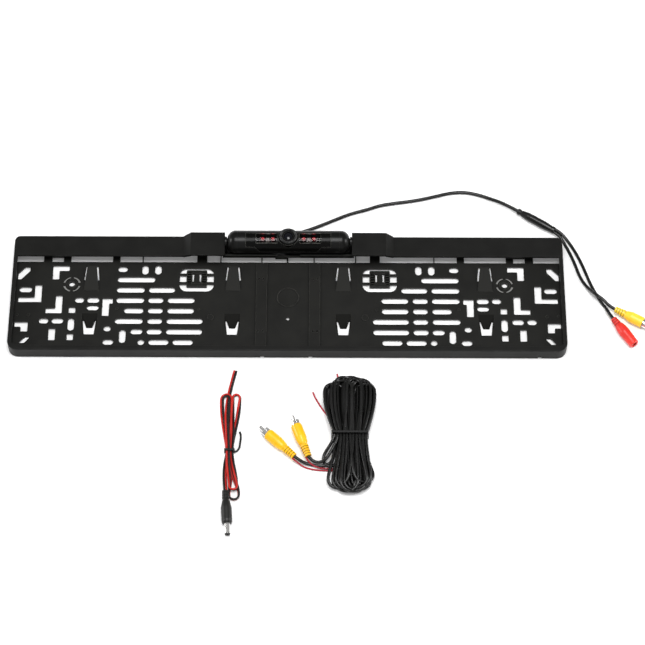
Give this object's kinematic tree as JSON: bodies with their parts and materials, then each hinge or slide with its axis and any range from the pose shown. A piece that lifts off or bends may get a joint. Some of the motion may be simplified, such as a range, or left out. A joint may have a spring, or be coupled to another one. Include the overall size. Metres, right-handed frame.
{
  "type": "number plate frame with backup camera",
  "caption": "Black number plate frame with a slotted tray, a camera bar with a tilting round camera housing, cable tails and two loose leads with plugs.",
  "frame": {"origin": "midway between the two screw holes, on the face that lies against the vehicle", "axes": "+Z away from the vehicle along the screws, +Y up the plate towards the camera, +X along the frame's long side"},
  "size_m": [0.6172, 0.3782, 0.0325],
  "materials": {
    "tray_plastic": "fine grained black",
    "frame_plastic": "satin black",
    "steel": "plain",
    "black_steel": "blackened",
    "bracket_plastic": "satin black",
    "washer_plastic": "natural",
    "pod_plastic": "satin black",
    "gloss_black": "polished",
    "smoked_window": "smoked clear",
    "seal_rubber": "soft",
    "ring_grey": "satin dark grey",
    "barrel_black": "anodised black",
    "lens_glass": "coated",
    "holder_plastic": "moulded",
    "circuit_board": "solder mask",
    "chip": "plain",
    "lamp_resin": "clear resin",
    "reflector": "bright",
    "black_jacket": "vinyl jacket",
    "red_wire": "vinyl jackets, red and black",
    "trigger_red": "vinyl jacket",
    "tie_black": "coated wire",
    "plug_black": "moulded",
    "nickel": "nickel plated",
    "insulator_black": "moulded",
    "jack_red": "moulded red",
    "plug_yellow": "moulded yellow"
  },
  "bodies": {
    "root": {"base_tray": "tray_plastic", "hinge_pins": "steel", "cable_grommet": "seal_rubber", "pigtail_cord": "black_jacket", "y_splitter": "black_jacket", "video_tail": "black_jacket", "power_tail": "black_jacket", "video_socket_body": "plug_yellow", "video_socket_shell": "nickel", "video_socket_core": "insulator_black", "power_jack_body": "jack_red", "power_jack_contact": "nickel", "power_hank": "red_wire", "power_tail_red": "red_wire", "power_tail_black": "black_jacket", "hank_ties": "tie_black", "power_plug_body": "plug_black", "power_plug_barrel": "nickel", "power_plug_insulator": "insulator_black", "video_hank": "black_jacket", "video_lead_a": "black_jacket", "video_lead_b": "black_jacket", "rca_plug_a_body": "plug_yellow", "rca_plug_a_skirt": "nickel", "rca_plug_a_pin": "nickel", "rca_plug_b_body": "plug_yellow", "rca_plug_b_skirt": "nickel", "rca_plug_b_pin": "nickel", "trigger_wire_a": "trigger_red", "trigger_wire_b": "trigger_red", "trigger_tail_a": "trigger_red", "trigger_tail_b": "trigger_red"},
    "front_frame": {"front_frame": "frame_plastic", "pivot_bracket_left": "bracket_plastic", "pivot_bracket_right": "bracket_plastic", "bracket_screws": "black_steel", "pivot_pins": "steel", "friction_washers": "washer_plastic"},
    "camera_pod": {"cap_screws": "black_steel", "pod_shell": "pod_plastic", "end_cap_left": "pod_plastic", "end_cap_right": "pod_plastic", "front_cover": "gloss_black", "lamp_window_left": "smoked_window", "lamp_window_right": "smoked_window", "lens_seal": "seal_rubber", "cable_gland": "seal_rubber", "lens_ring": "ring_grey", "lens_barrel": "barrel_black", "lens_glass": "lens_glass", "rear_glass": "lens_glass", "lens_holder": "holder_plastic", "sensor_board": "circuit_board", "lamp_board_left": "circuit_board", "lamp_board_right": "circuit_board", "image_sensor": "chip", "lamps_left": "lamp_resin", "lamps_right": "lamp_resin", "reflectors_left": "reflector", "reflectors_right": "reflector"}
  },
  "joints": [
    {"name": "front_frame_hinge", "type": "hinge", "parent": "root", "child": "front_frame", "pos_m": [0, 0.043, 0.0055], "axis": [-1, 0, 0], "range_deg": [0, 55]},
    {"name": "camera_tilt", "type": "hinge", "parent": "front_frame", "child": "camera_pod", "pos_m": [0, 0.038, 0.0206], "axis": [1, 0, 0], "range_deg": [-15, 15]}
  ]
}
